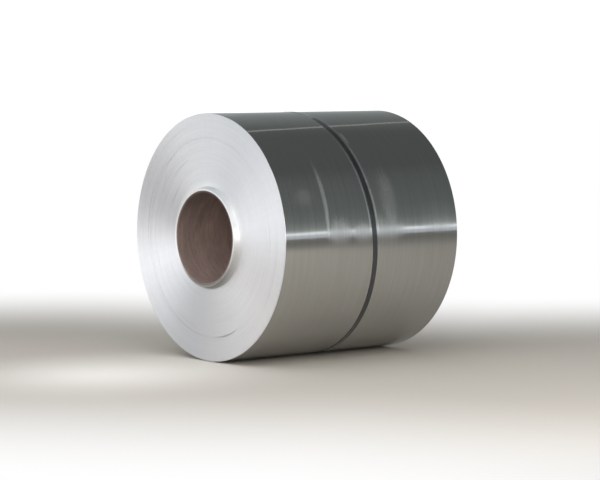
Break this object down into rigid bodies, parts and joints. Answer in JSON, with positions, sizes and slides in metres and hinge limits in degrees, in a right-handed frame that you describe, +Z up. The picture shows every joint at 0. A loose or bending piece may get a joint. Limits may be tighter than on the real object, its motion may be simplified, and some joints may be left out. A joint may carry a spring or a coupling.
{
  "type": "aluminum coil",
  "caption": "Coil of aluminum strip lying on its side, wound on a brown fibre core, its inner turns standing out in front, held round the middle by a leaning steel strap.",
  "frame": {"origin": "under the middle of the outline, on the level that the coil rests on", "axes": "+Y along the coil's axis, from the front end where the inner turns stand out to the back end; +Z up"},
  "size_m": [1.3962, 1.28, 1.3962],
  "materials": {
    "mill_aluminium": "mill finish, bright rolled, turns' edges satin",
    "core_fibre": "spiral-wound fibre board, matt",
    "blued_steel": "blued and waxed strapping, satin",
    "seal_steel": "plain crimped sheet, satin"
  },
  "bodies": {
    "root": {"wound_strip": "mill_aluminium", "fibre_core": "core_fibre", "steel_strap": "blued_steel", "strap_seal": "seal_steel"}
  },
  "joints": []
}
